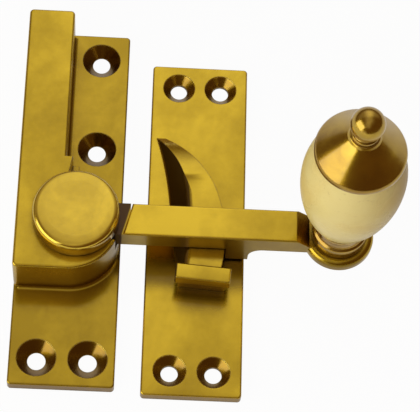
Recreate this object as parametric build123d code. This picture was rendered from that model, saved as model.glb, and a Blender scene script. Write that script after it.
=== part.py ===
from build123d import *
import math
import os

# Straight-arm sash fastener with a ceramic knob, in cast and turned brass.
# X runs across the meeting rails, from the lever plate to the keep plate. Y runs along the rails. Z is up.
# The pieces are drawn about the axis of the arm's pivot, with the undersides of the plates at level 0.
# They are then set so that the origin is midway between the lever plate's front pair of screws.
# At rest the arm lies along X over the keep plate, as it does when the sashes are locked.

# Plates
PLATE_THICKNESS = 2.5
PLATE_CORNER_RADIUS = 0.8
PLATE_EDGE_RADIUS = 0.35
LEVER_PLATE_WIDTH = 22.0
LEVER_PLATE_LENGTH = 83.0
LEVER_PLATE_CENTRE_X = -1.5
LEVER_PLATE_CENTRE_Y = 8.0
KEEP_PLATE_WIDTH = 20.8
KEEP_PLATE_LENGTH = 77.2
KEEP_PLATE_CENTRE_Y = 4.0
PLATE_GAP = 5.4

# Screw holes
LEVER_SCREW_BORE = 3.8
LEVER_SINK_DIAMETER = 8.2
KEEP_SCREW_BORE = 3.6
KEEP_SINK_DIAMETER = 6.9
SINK_LIP = 0.15
FRONT_PAIR_SIDE_INSET = 5.7
FRONT_PAIR_INSET = 6.0
SIDE_PAIR_SPACING = 22.0
SIDE_PAIR_INSET = 6.3
KEEP_HOLE_SIDE_INSET = 5.85
KEEP_HOLE_END_INSET = 5.4

# Fence along the outer edge of the lever plate, and the boss that it runs into
HOUSING_RISE = 10.5
FENCE_WIDTH = 9.8
BOSS_RADIUS = 10.6
BOSS_CENTRE_Y = -1.1
HOUSING_CORNER_RADIUS = 0.9
HOUSING_EDGE_RADIUS = 0.5
HOUSING_FOOT_RADIUS = 0.8

# Arm
ARM_WIDTH = 7.2
ARM_THICKNESS = 5.0
ARM_REACH = 55.0
ARM_STOP_ANGLE = -7.6
ARM_OPEN_ANGLE = 80.0
ARM_SIDE_CLEARANCE = 0.15
ARM_EDGE_RADIUS = 0.4
BAR_START = 10.8
BAR_START_SKEW = 14.0
BAR_START_BEVEL = 0.7
BAR_END_SETBACK = 9.0
END_SLOPE_RUN = 2.8
EYE_RADIUS = 7.4
EYE_DROP = 2.45
EYE_THICKNESS = 3.5
EYE_EDGE_RADIUS = 1.3

# Hub of the arm in the boss, its cam flats, and the pivot that holds it down
HUB_RADIUS = 7.0
HUB_HEIGHT = 4.8
HUB_RADIAL_CLEARANCE = 0.3
HUB_END_CLEARANCE = 0.15
CAM_FLAT_DISTANCE = 5.2
PIVOT_DISC_RADIUS = 9.0
PIVOT_DISC_THICKNESS = 4.2
PIVOT_DISC_EDGE_RADIUS = 1.0
PIVOT_PIN_RADIUS = 2.5
RUNNING_CLEARANCE = 0.05
PIVOT_WEB = 3.0
RIVET_WASHER_RADIUS = 5.5
RIVET_WASHER_THICKNESS = 1.2
RIVET_HEAD_RADIUS = 4.0
RIVET_HEAD_HEIGHT = 1.4
RIVET_HEAD_TAPER = 0.8
RECESS_CLEARANCE = 1.5

# Leaf spring, on edge in a slot inside the fence
SPRING_THICKNESS = 0.7
SPRING_HEIGHT = 5.2
SPRING_TOP_WALL = 1.6
SPRING_TOP_CLEARANCE = 0.2
SPRING_FREE_END = -6.2
SPRING_LENGTH = 43.0
SPRING_HELD_LENGTH = 10.0
SPRING_TOUCH_CLEARANCE = 0.03
SPRING_SLOT_INNER_ROOM = 0.35
SPRING_SLOT_END_ROOM = 0.8
CAM_SWEEP_ROOM = 0.4
WEDGE_THICKNESS = 1.4
WEDGE_SEAT = 0.4

# Cam ridge and stop on the keep plate, and the claw that hooks behind the ridge
RIDGE_OUTER_RADIUS = 31.4
RIDGE_DRAW = 1.0
RIDGE_TOP_CLEARANCE = 0.25
RIDGE_TIP_X = 15.8
RIDGE_TIP_Y = 24.8
RIDGE_WAIST_X = 19.2
RIDGE_WAIST_Y = 8.7
RIDGE_ROOT_X = 18.2
RIDGE_DRAFT = 35.0
RIDGE_TOP_RADIUS = 2.0
RIDGE_RAMP_END_Y = 9.0
STOP_CENTRE_X = 27.0
STOP_SIDE_Y = -7.9
STOP_SKEW = -4.0
STOP_PILLAR_LENGTH = 9.6
STOP_PILLAR_DEPTH = 2.9
STOP_BAR_LENGTH = 11.6
STOP_BAR_DEPTH = 3.5
STOP_BAR_THICKNESS = 2.7
STOP_BAR_RISE = 1.2
STOP_EDGE_RADIUS = 0.4
CLAW_CLEARANCE = 0.35
CLAW_THICKNESS = 4.6
CLAW_PLATE_CLEARANCE = 0.7
CLAW_FILLET = 3.0

# Knob: spindle, collar, ceramic barrel between two washers, cap and finial
SPINDLE_RADIUS = 1.6
SPINDLE_CLEARANCE = 0.05
SPINDLE_HEAD_RADIUS = 2.9
SPINDLE_HEAD_DEPTH = 1.3
BARREL_BORE_CLEARANCE = 0.5
COLLAR_FOOT_RADIUS = 5.8
COLLAR_WAIST_RADIUS = 5.2
COLLAR_TOP_RADIUS = 5.5
COLLAR_HEIGHT = 6.6
COLLAR_FOOT_HEIGHT = 3.0
COLLAR_STEP = 0.5
KNOB_WASHER_THICKNESS = 0.4
KNOB_WASHER_RADIUS = 4.6
BARREL_HEIGHT = 29.6
BARREL_FOOT_RADIUS = 5.7
BARREL_WIDEST_RADIUS = 10.5
BARREL_TOP_RADIUS = 8.6
BARREL_WIDEST_SHARE = 0.72
BARREL_EDGE_RADIUS = 0.5
CAP_RADIUS = 9.1
CAP_LIP = 1.1
CAP_HEIGHT = 7.6
CAP_NECK_RADIUS = 2.7
CAP_RIM_RADIUS = 0.8
FINIAL_RING_RADIUS = 2.7
FINIAL_RING_HEIGHT = 0.9
FINIAL_NECK_RADIUS = 2.3
FINIAL_NECK_HEIGHT = 0.7
FINIAL_BALL_RADIUS = 3.4
FINIAL_THREAD_DEPTH = 4.2

# How far a cutter reaches past what it cuts, and how near counts as the same place
OVERLAP = 0.5
SAME_PLACE = 0.0001

# Levels and places that follow from the sizes above
housing_top = PLATE_THICKNESS + HOUSING_RISE
lever_left = LEVER_PLATE_CENTRE_X - LEVER_PLATE_WIDTH / 2
lever_right = LEVER_PLATE_CENTRE_X + LEVER_PLATE_WIDTH / 2
lever_back = LEVER_PLATE_CENTRE_Y + LEVER_PLATE_LENGTH / 2
lever_front = LEVER_PLATE_CENTRE_Y - LEVER_PLATE_LENGTH / 2
fence_right = lever_left + FENCE_WIDTH
front_pair_y = lever_front + FRONT_PAIR_INSET
front_pair_spacing = LEVER_PLATE_WIDTH - 2 * FRONT_PAIR_SIDE_INSET
boss_front = BOSS_CENTRE_Y - BOSS_RADIUS
cheek_end = BOSS_RADIUS + ARM_WIDTH / 2
keep_centre_x = lever_right + PLATE_GAP + KEEP_PLATE_WIDTH / 2
keep_spacing_x = KEEP_PLATE_WIDTH - 2 * KEEP_HOLE_SIDE_INSET
keep_spacing_y = KEEP_PLATE_LENGTH - 2 * KEEP_HOLE_END_INSET
hub_top = housing_top - HUB_END_CLEARANCE
arm_bottom = hub_top - HUB_HEIGHT
arm_top = arm_bottom + ARM_THICKNESS
pocket_floor = arm_bottom - HUB_END_CLEARANCE
pocket_radius = HUB_RADIUS + HUB_RADIAL_CLEARANCE
arm_half_room = ARM_WIDTH / 2 + ARM_SIDE_CLEARANCE
web_bottom = pocket_floor - PIVOT_WEB
spring_east = -CAM_FLAT_DISTANCE - SPRING_TOUCH_CLEARANCE
spring_west = spring_east - SPRING_THICKNESS
spring_top = housing_top - SPRING_TOP_WALL - SPRING_TOP_CLEARANCE
claw_inner_radius = RIDGE_OUTER_RADIUS + CLAW_CLEARANCE
ridge_top = arm_bottom - RIDGE_TOP_CLEARANCE
bar_end = ARM_REACH - BAR_END_SETBACK
eye_top = arm_top - EYE_DROP
eye_bottom = eye_top - EYE_THICKNESS
collar_top = eye_top + COLLAR_HEIGHT
barrel_bottom = collar_top + KNOB_WASHER_THICKNESS
barrel_top = barrel_bottom + BARREL_HEIGHT
cap_bottom = barrel_top + KNOB_WASHER_THICKNESS
cap_top = cap_bottom + CAP_HEIGHT
finial_ball_centre = (cap_top + FINIAL_RING_HEIGHT + FINIAL_NECK_HEIGHT
                      + math.sqrt(FINIAL_BALL_RADIUS ** 2 - FINIAL_NECK_RADIUS ** 2))


def block(x0, x1, y0, y1, z0, z1):
    """A box between two corners."""
    centre = Pos((x0 + x1) / 2, (y0 + y1) / 2, (z0 + z1) / 2)
    return centre * Box(x1 - x0, y1 - y0, z1 - z0)


def rod(radius, z0, z1, x=0.0, y=0.0):
    """An upright cylinder between two levels."""
    return Pos(x, y, (z0 + z1) / 2) * Cylinder(radius, z1 - z0)


def turned(outline, x=0.0):
    """A piece turned about an upright axis, from a closed outline of radii and levels."""
    return Pos(x, 0, 0) * revolve(Plane.XZ * make_face(outline), Axis.Z)


def edges_at(shape, z):
    """The edges of a shape that lie flat at one level."""
    return shape.edges().filter_by(lambda e: abs(e.bounding_box().min.Z - z) < SAME_PLACE
                                   and abs(e.bounding_box().max.Z - z) < SAME_PLACE)


def upright_edges_near(shape, x, y, reach=0.1):
    """The upright edges of a shape that stand at one place in plan."""
    return shape.edges().filter_by(Axis.Z).filter_by(
        lambda e: math.hypot(e.center().X - x, e.center().Y - y) < reach)


def screw_hole(x, y, bore, sink):
    """The cutter for one countersunk screw hole through a plate."""
    depth = (sink - bore) / 2
    cone_top = PLATE_THICKNESS - SINK_LIP
    above = PLATE_THICKNESS + OVERLAP
    outline = Polyline((0, -OVERLAP), (bore / 2, -OVERLAP), (bore / 2, cone_top - depth),
                       (sink / 2, cone_top), (sink / 2, above), (0, above), close=True)
    return Pos(0, y, 0) * turned(outline, x)


def plate(width, length, x, y):
    """A flat plate with rounded corners and a softened top edge, as polished."""
    body = block(x - width / 2, x + width / 2, y - length / 2, y + length / 2, 0, PLATE_THICKNESS)
    body = fillet(body.edges().filter_by(Axis.Z), PLATE_CORNER_RADIUS)
    return fillet(edges_at(body, PLATE_THICKNESS), PLATE_EDGE_RADIUS)


def housing():
    """The fence, the boss and the cheek that the opened arm meets, in one block with a flat front wall."""
    fence = block(lever_left, fence_right, 0, lever_back, 0, housing_top)
    corner = block(lever_left, LEVER_PLATE_CENTRE_X, boss_front, 0, 0, housing_top)
    cheek = block(fence_right - OVERLAP, 0, 0, cheek_end, 0, housing_top)
    body = fence + corner + cheek + rod(BOSS_RADIUS, 0, housing_top, LEVER_PLATE_CENTRE_X, BOSS_CENTRE_Y)
    for x, y in ((lever_left, lever_back), (fence_right, lever_back), (lever_left, boss_front)):
        body = fillet(upright_edges_near(body, x, y), HOUSING_CORNER_RADIUS)
    return fillet(edges_at(body, housing_top), HOUSING_EDGE_RADIUS)


def cove_section():
    """The hollow corner that is left when a round tool runs along the foot of a wall."""
    tool = Pos(HOUSING_FOOT_RADIUS, PLATE_THICKNESS + HOUSING_FOOT_RADIUS) * Circle(HOUSING_FOOT_RADIUS)
    corner = Pos(0, PLATE_THICKNESS) * Rectangle(HOUSING_FOOT_RADIUS, HOUSING_FOOT_RADIUS, align=Align.MIN)
    return corner - tool


def foot_coves():
    """The small cove where the housing rises from the plate, kept inside the plate's rounded edges."""
    section = Plane.XZ * cove_section()
    along_fence = Pos(fence_right, lever_back, 0) * extrude(section, lever_back)
    front = Plane.YZ * Rot(0, 180, 0) * cove_section()
    along_front = Pos(LEVER_PLATE_CENTRE_X, boss_front, 0) * extrude(front, LEVER_PLATE_WIDTH / 2, both=True)
    along_front &= block(lever_left, LEVER_PLATE_CENTRE_X, lever_front, 0, 0, housing_top)
    around_boss = Pos(LEVER_PLATE_CENTRE_X, BOSS_CENTRE_Y, 0) * revolve(
        Pos(BOSS_RADIUS, 0, 0) * Plane.XZ * cove_section(), Axis.Z)
    inside = block(lever_left + HOUSING_CORNER_RADIUS, lever_right - PLATE_EDGE_RADIUS, lever_front,
                   lever_back - HOUSING_CORNER_RADIUS, 0, housing_top)
    return (along_fence + along_front + around_boss) & inside


def arm_room():
    """What the hub and the neck of the arm sweep between their two stops."""
    long = LEVER_PLATE_WIDTH
    top = housing_top + HUB_HEIGHT
    room = rod(pocket_radius, pocket_floor, top)
    for angle in (ARM_STOP_ANGLE, ARM_OPEN_ANGLE):
        room += Rot(0, 0, angle) * block(0, long, -arm_half_room, arm_half_room, pocket_floor, top)
    rim = PolarLocations(long, 2, start_angle=ARM_STOP_ANGLE,
                         angular_range=ARM_OPEN_ANGLE - ARM_STOP_ANGLE, endpoint=True)
    start, end = (place.position for place in rim)
    middle = math.radians((ARM_STOP_ANGLE + ARM_OPEN_ANGLE) / 2)
    arc = ThreePointArc(start, (long * math.cos(middle), long * math.sin(middle)), end)
    sector = make_face([Line((0, 0), start), arc, Line(end, (0, 0))])
    return room + Pos(0, 0, pocket_floor) * extrude(sector, top - pocket_floor)


def spring_slot():
    """The slot inside the fence for the leaf spring, open at the underside."""
    top = housing_top - SPRING_TOP_WALL
    sweep = HUB_RADIUS - CAM_FLAT_DISTANCE + CAM_SWEEP_ROOM
    held_from = SPRING_FREE_END + SPRING_LENGTH - SPRING_HELD_LENGTH
    end = SPRING_FREE_END + SPRING_LENGTH
    east = spring_east + SPRING_SLOT_INNER_ROOM
    start = SPRING_FREE_END - SPRING_SLOT_END_ROOM
    free_part = block(spring_west - sweep, east, start, held_from, -OVERLAP, top)
    held_part = block(spring_west - WEDGE_THICKNESS, spring_east, held_from - OVERLAP, end, -OVERLAP, top)
    return free_part + held_part


def lever_base():
    """The cast lever plate, with its fence, boss, arm pocket and the hollows underneath."""
    body = plate(LEVER_PLATE_WIDTH, LEVER_PLATE_LENGTH, LEVER_PLATE_CENTRE_X, LEVER_PLATE_CENTRE_Y)
    body += housing() + foot_coves()
    body -= arm_room()
    body -= rod(PIVOT_PIN_RADIUS + RUNNING_CLEARANCE, -OVERLAP, housing_top)
    body -= rod(RIVET_WASHER_RADIUS + RECESS_CLEARANCE, -OVERLAP, web_bottom)
    body -= spring_slot()
    for side in (-1, 1):
        x = LEVER_PLATE_CENTRE_X + side * front_pair_spacing / 2
        body -= screw_hole(x, front_pair_y, LEVER_SCREW_BORE, LEVER_SINK_DIAMETER)
    strip_centre = (fence_right + lever_right) / 2
    for step in range(2):
        y = lever_back - SIDE_PAIR_INSET - step * SIDE_PAIR_SPACING
        body -= screw_hole(strip_centre, y, LEVER_SCREW_BORE, LEVER_SINK_DIAMETER)
    return body


def pivot_disc():
    """The turned disc and pin that hold the hub down, riveted over below the web."""
    top = housing_top + PIVOT_DISC_THICKNESS
    disc = rod(PIVOT_DISC_RADIUS, housing_top, top)
    disc = fillet(edges_at(disc, top), PIVOT_DISC_EDGE_RADIUS)
    rivet_top = web_bottom - RIVET_WASHER_THICKNESS
    pin = rod(PIVOT_PIN_RADIUS, rivet_top, housing_top)
    head = Pos(0, 0, rivet_top - RIVET_HEAD_HEIGHT / 2) * Cone(
        RIVET_HEAD_RADIUS - RIVET_HEAD_TAPER, RIVET_HEAD_RADIUS, RIVET_HEAD_HEIGHT)
    return disc + pin + head


def rivet_washer():
    """The washer that the pivot pin is riveted over."""
    bottom = web_bottom - RIVET_WASHER_THICKNESS
    return rod(RIVET_WASHER_RADIUS, bottom, web_bottom) - rod(
        PIVOT_PIN_RADIUS + RUNNING_CLEARANCE, bottom - OVERLAP, web_bottom + OVERLAP)


def leaf_spring():
    """The flat steel spring that bears on the flats of the hub."""
    return block(spring_west, spring_east, SPRING_FREE_END, SPRING_FREE_END + SPRING_LENGTH,
                 spring_top - SPRING_HEIGHT, spring_top)


def spring_wedge():
    """The brass wedge that is driven in beside the held end of the spring."""
    end = SPRING_FREE_END + SPRING_LENGTH
    return block(spring_west - WEDGE_THICKNESS, spring_west, end - SPRING_HELD_LENGTH + OVERLAP, end,
                 WEDGE_SEAT, spring_top)


def cam_hub():
    """The hub of the arm, with a flat for the spring at each end of the swing."""
    hub = rod(HUB_RADIUS, arm_bottom, hub_top)
    for angle in (0, -ARM_OPEN_ANGLE):
        waste = block(-HUB_RADIUS * 2, -CAM_FLAT_DISTANCE, -HUB_RADIUS, HUB_RADIUS,
                      arm_bottom - OVERLAP, hub_top + OVERLAP)
        hub -= Rot(0, 0, angle) * waste
    return hub


def arm_bar():
    """The straight bar, stepped up from the neck and sloped down to the eye."""
    half = ARM_WIDTH / 2
    neck = block(0, BAR_START + OVERLAP, -half, half, arm_bottom, hub_top)
    bar = block(BAR_START - half, ARM_REACH - EYE_RADIUS / 2, -half, half, arm_bottom, arm_top)
    slope_end = bar_end + END_SLOPE_RUN
    past_eye = ARM_REACH + EYE_RADIUS
    slope = Polyline((bar_end, arm_top), (slope_end, eye_top), (past_eye, eye_top),
                     (past_eye, arm_top + OVERLAP), (bar_end, arm_top + OVERLAP), close=True)
    bar -= extrude(Plane.XZ * make_face(slope), ARM_WIDTH, both=True)
    above = arm_top + OVERLAP / 2
    step = Polyline((-BAR_START, arm_bottom), (0, arm_bottom), (0, hub_top), (BAR_START_BEVEL, above),
                    (-BAR_START, above), close=True)
    step = extrude(Plane.XZ * make_face(step), ARM_WIDTH * 2, both=True)
    bar -= Pos(BAR_START, 0, 0) * Rot(0, 0, -BAR_START_SKEW) * step
    bar = fillet(edges_at(bar, arm_top).filter_by(Axis.X), ARM_EDGE_RADIUS)
    return neck + bar


def claw():
    """The lug under the bar that hooks behind the ridge."""
    inner = claw_inner_radius - ARM_WIDTH
    outer = claw_inner_radius + CLAW_THICKNESS
    bottom = PLATE_THICKNESS + CLAW_PLATE_CLEARANCE
    top = arm_bottom + OVERLAP
    sides = Polyline((outer + CLAW_FILLET, arm_bottom), (outer + CLAW_FILLET, top), (inner, top),
                     (inner, bottom), (outer, bottom), (outer, arm_bottom - CLAW_FILLET))
    cove = RadiusArc((outer, arm_bottom - CLAW_FILLET), (outer + CLAW_FILLET, arm_bottom), CLAW_FILLET)
    lug = extrude(Plane.XZ * make_face([*sides.edges(), cove]), ARM_WIDTH / 2, both=True)
    return lug - rod(claw_inner_radius, 0, arm_bottom)


def lever_arm():
    """The cast arm: hub, neck, bar, claw and the eye that carries the knob."""
    eye = rod(EYE_RADIUS, eye_bottom, eye_top, ARM_REACH)
    eye = fillet(edges_at(eye, eye_top) + edges_at(eye, eye_bottom), EYE_EDGE_RADIUS)
    body = cam_hub() + arm_bar() + claw() + eye
    body -= rod(PIVOT_PIN_RADIUS + RUNNING_CLEARANCE, 0, housing_top)
    body -= rod(SPINDLE_RADIUS + SPINDLE_CLEARANCE, 0, eye_top + OVERLAP, ARM_REACH)
    sink = Cone(SPINDLE_HEAD_RADIUS + SPINDLE_CLEARANCE, SPINDLE_RADIUS + SPINDLE_CLEARANCE,
                SPINDLE_HEAD_DEPTH)
    return body - Pos(ARM_REACH, 0, eye_bottom + SPINDLE_HEAD_DEPTH / 2) * sink


def ridge_ramp():
    """The cutter above the ridge's end, which lets its top sink to the plate in one long curve."""
    low = PLATE_THICKNESS - SINK_LIP
    high = ridge_top + RIDGE_OUTER_RADIUS
    past_tip = RIDGE_TIP_Y + RIDGE_OUTER_RADIUS
    curve = TangentArc((RIDGE_RAMP_END_Y, ridge_top), (RIDGE_TIP_Y, low), tangent=(1, 0))
    rest = Polyline((RIDGE_TIP_Y, low), (past_tip, low), (past_tip, high), (RIDGE_RAMP_END_Y, high),
                    (RIDGE_RAMP_END_Y, ridge_top))
    return extrude(Plane.YZ * make_face([curve, *rest.edges()]), RIDGE_OUTER_RADIUS * 2)


def cam_ridge():
    """The curved ridge: upright on its outer side, drafted on its inner side, ramped up from its tip."""
    root = PLATE_THICKNESS - OVERLAP
    height = ridge_top - root
    far = RIDGE_OUTER_RADIUS + height
    far_north = RIDGE_TIP_Y + height
    end_y = STOP_SIDE_Y - STOP_PILLAR_DEPTH / 2 - height * math.tan(math.radians(RIDGE_DRAFT))
    inner = ThreePointArc((RIDGE_TIP_X, RIDGE_TIP_Y), (RIDGE_WAIST_X, RIDGE_WAIST_Y), (RIDGE_ROOT_X, end_y))
    rest = Polyline((RIDGE_ROOT_X, end_y), (far, end_y), (far, far_north), (RIDGE_TIP_X, far_north),
                    (RIDGE_TIP_X, RIDGE_TIP_Y))
    ridge = Pos(0, 0, root) * extrude(make_face([inner, *rest.edges()]), height, taper=RIDGE_DRAFT)
    inner_edge = edges_at(ridge, ridge_top).filter_by(GeomType.CIRCLE)
    ridge = fillet(inner_edge, RIDGE_TOP_RADIUS)
    return (ridge - ridge_ramp()) & rod(RIDGE_OUTER_RADIUS, 0, arm_top, 0, -RIDGE_DRAW)


def stop():
    """The stop at the ridge's end: a pillar with an overhanging bar, set as slightly askew as it was cast."""
    half_pillar = STOP_PILLAR_LENGTH / 2
    half_bar = STOP_BAR_LENGTH / 2
    bar_top = ridge_top + STOP_BAR_RISE
    pillar = block(-half_pillar, half_pillar, -STOP_PILLAR_DEPTH, 0, PLATE_THICKNESS - OVERLAP,
                   bar_top - OVERLAP)
    bar = block(-half_bar, half_bar, -STOP_BAR_DEPTH, 0, bar_top - STOP_BAR_THICKNESS, bar_top)
    bar = fillet(edges_at(bar, bar_top) + bar.edges().filter_by(Axis.Z), STOP_EDGE_RADIUS)
    return Pos(STOP_CENTRE_X, STOP_SIDE_Y, 0) * Rot(0, 0, STOP_SKEW) * (pillar + bar)


def keep_plate():
    """The cast keep plate with its ridge, stop and four screw holes."""
    body = plate(KEEP_PLATE_WIDTH, KEEP_PLATE_LENGTH, keep_centre_x, KEEP_PLATE_CENTRE_Y)
    body += cam_ridge() + stop()
    for place in GridLocations(keep_spacing_x, keep_spacing_y, 2, 2):
        x = keep_centre_x + place.position.X
        y = KEEP_PLATE_CENTRE_Y + place.position.Y
        body -= screw_hole(x, y, KEEP_SCREW_BORE, KEEP_SINK_DIAMETER)
    return body


def knob_spindle():
    """The steel rod through the knob, riveted into the underside of the eye."""
    shank = rod(SPINDLE_RADIUS, eye_bottom, cap_top + FINIAL_THREAD_DEPTH, ARM_REACH)
    head = Cone(SPINDLE_HEAD_RADIUS, SPINDLE_RADIUS, SPINDLE_HEAD_DEPTH)
    return shank + Pos(ARM_REACH, 0, eye_bottom + SPINDLE_HEAD_DEPTH / 2) * head


def knob_collar():
    """The turned brass collar that the barrel stands on: a broad foot and a neck set back by a step."""
    bore = SPINDLE_RADIUS + SPINDLE_CLEARANCE
    foot_top = eye_top + COLLAR_FOOT_HEIGHT
    neck = foot_top + COLLAR_STEP
    outline = Polyline((bore, eye_top), (COLLAR_FOOT_RADIUS, eye_top), (COLLAR_FOOT_RADIUS, foot_top),
                       (COLLAR_WAIST_RADIUS, neck), (COLLAR_TOP_RADIUS, collar_top), (bore, collar_top),
                       close=True)
    return turned(outline, ARM_REACH)


def knob_washer(bottom):
    """A thin leather washer that keeps the ceramic off the brass."""
    top = bottom + KNOB_WASHER_THICKNESS
    hole = rod(SPINDLE_RADIUS + SPINDLE_CLEARANCE, bottom - OVERLAP, top + OVERLAP, ARM_REACH)
    return rod(KNOB_WASHER_RADIUS, bottom, top, ARM_REACH) - hole


def knob_barrel():
    """The glazed ceramic barrel: two arcs that meet at its widest, high up."""
    bore = SPINDLE_RADIUS + BARREL_BORE_CLEARANCE
    widest = (BARREL_WIDEST_RADIUS, barrel_bottom + BARREL_HEIGHT * BARREL_WIDEST_SHARE)
    upper = TangentArc(widest, (BARREL_TOP_RADIUS, barrel_top), tangent=(0, 1))
    lower = TangentArc(widest, (BARREL_FOOT_RADIUS, barrel_bottom), tangent=(0, -1))
    core = Polyline((BARREL_TOP_RADIUS, barrel_top), (bore, barrel_top), (bore, barrel_bottom),
                    (BARREL_FOOT_RADIUS, barrel_bottom))
    body = turned([upper, lower, *core.edges()], ARM_REACH)
    rims = (edges_at(body, barrel_top) + edges_at(body, barrel_bottom)).filter_by(
        lambda e: e.bounding_box().size.X > 2 * bore + OVERLAP)
    return fillet(rims, BARREL_EDGE_RADIUS)


def knob_cap():
    """The turned brass cap, a cone from its rounded rim up to the seat of the finial."""
    bore = SPINDLE_RADIUS + SPINDLE_CLEARANCE
    lip_top = cap_bottom + CAP_LIP
    outline = Polyline((bore, cap_bottom), (CAP_RADIUS, cap_bottom), (CAP_RADIUS, lip_top),
                       (CAP_NECK_RADIUS, cap_top), (bore, cap_top), close=True)
    body = turned(outline, ARM_REACH)
    return fillet(edges_at(body, lip_top), CAP_RIM_RADIUS)


def knob_finial():
    """The ball finial, screwed down on the spindle to clamp the whole knob."""
    ring_top = cap_top + FINIAL_RING_HEIGHT
    ball = Pos(ARM_REACH, 0, finial_ball_centre) * Sphere(FINIAL_BALL_RADIUS)
    neck = rod(FINIAL_NECK_RADIUS, ring_top, finial_ball_centre, ARM_REACH)
    ring = rod(FINIAL_RING_RADIUS, cap_top, ring_top, ARM_REACH)
    thread_end = cap_top + FINIAL_THREAD_DEPTH
    thread = rod(SPINDLE_RADIUS + SPINDLE_CLEARANCE, cap_top - OVERLAP, thread_end, ARM_REACH)
    return ball + neck + ring - thread


PIECES = {
    "lever_base": lever_base,
    "pivot_disc": pivot_disc,
    "rivet_washer": rivet_washer,
    "leaf_spring": leaf_spring,
    "spring_wedge": spring_wedge,
    "keep_plate": keep_plate,
    "lever_arm": lever_arm,
    "knob_spindle": knob_spindle,
    "knob_collar": knob_collar,
    "lower_knob_washer": lambda: knob_washer(collar_top),
    "knob_barrel": knob_barrel,
    "upper_knob_washer": lambda: knob_washer(barrel_top),
    "knob_cap": knob_cap,
    "knob_finial": knob_finial,
}

os.makedirs("parts", exist_ok=True)
to_origin = Pos(-LEVER_PLATE_CENTRE_X, -front_pair_y, 0)
for name, make in PIECES.items():
    export_step(to_origin * make(), f"parts/{name}.step")
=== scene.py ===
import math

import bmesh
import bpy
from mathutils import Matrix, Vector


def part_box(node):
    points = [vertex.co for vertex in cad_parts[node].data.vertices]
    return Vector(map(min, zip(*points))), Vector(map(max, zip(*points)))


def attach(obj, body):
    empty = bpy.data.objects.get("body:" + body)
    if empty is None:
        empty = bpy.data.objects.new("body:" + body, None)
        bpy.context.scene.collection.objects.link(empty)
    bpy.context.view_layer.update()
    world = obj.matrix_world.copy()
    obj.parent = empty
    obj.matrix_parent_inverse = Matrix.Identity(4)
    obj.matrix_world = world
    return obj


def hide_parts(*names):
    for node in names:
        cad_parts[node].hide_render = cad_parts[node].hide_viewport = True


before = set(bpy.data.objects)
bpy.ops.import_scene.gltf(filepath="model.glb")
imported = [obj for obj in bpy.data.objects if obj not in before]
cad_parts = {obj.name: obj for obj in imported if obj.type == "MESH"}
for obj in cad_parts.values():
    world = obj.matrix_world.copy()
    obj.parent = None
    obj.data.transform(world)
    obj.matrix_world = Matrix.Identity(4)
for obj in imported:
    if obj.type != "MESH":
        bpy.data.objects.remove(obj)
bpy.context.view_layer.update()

# %% [markdown]
# # A sash fastener in cast brass
# The two plates are screwed to the meeting rails of a sash window. The arm swings over the keep plate, its claw
# hooks behind the curved ridge and draws the rails together. The model already holds every piece at its real size.
# This file gives the castings their finish, turns the round pieces again on a finer lathe, and sets up the floor,
# the light and the camera.

MM = 0.001

# %% [markdown]
# ## Writing shaders as expressions
# A finish is a formula: so much of this colour where the noise is high, less where the surface is worn. Wiring that
# by hand takes dozens of Math nodes. A small class wraps a socket, so that `1 - mask * 0.4` adds the nodes by itself.


# %% A socket that can be calculated with
class Signal:
    """A number that varies over a surface, or a colour or vector."""

    def __init__(self, desk, socket):
        self.desk = desk
        self.socket = socket

    def maths(self, operation, *others):
        """Adds one Math node that works on this number and the others."""
        values = dict(enumerate((self, *others)))
        return self.desk.node("ShaderNodeMath", {"operation": operation}, values)

    def __add__(self, other):
        return self.maths("ADD", other)

    def __sub__(self, other):
        return self.maths("SUBTRACT", other)

    def __mul__(self, other):
        return self.maths("MULTIPLY", other)

    def __truediv__(self, other):
        return self.maths("DIVIDE", other)

    def __pow__(self, other):
        return self.maths("POWER", other)

    def __rsub__(self, other):
        return (self * -1.0) + other

    __radd__ = __add__
    __rmul__ = __mul__

    def ramp(self, low, high):
        """0 at the low value, 1 at the high value, and smooth between them."""
        settings = {"interpolation_type": "SMOOTHSTEP"}
        return self.desk.node("ShaderNodeMapRange", settings, {"Value": self, "From Min": low, "From Max": high})


# %% [markdown]
# ## One method for every other node
# Some nodes show other sockets once a setting changes, so the settings come first, then the values and the links.
# The same method works for a material, for the world and for a Geometry Nodes tree.


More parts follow.
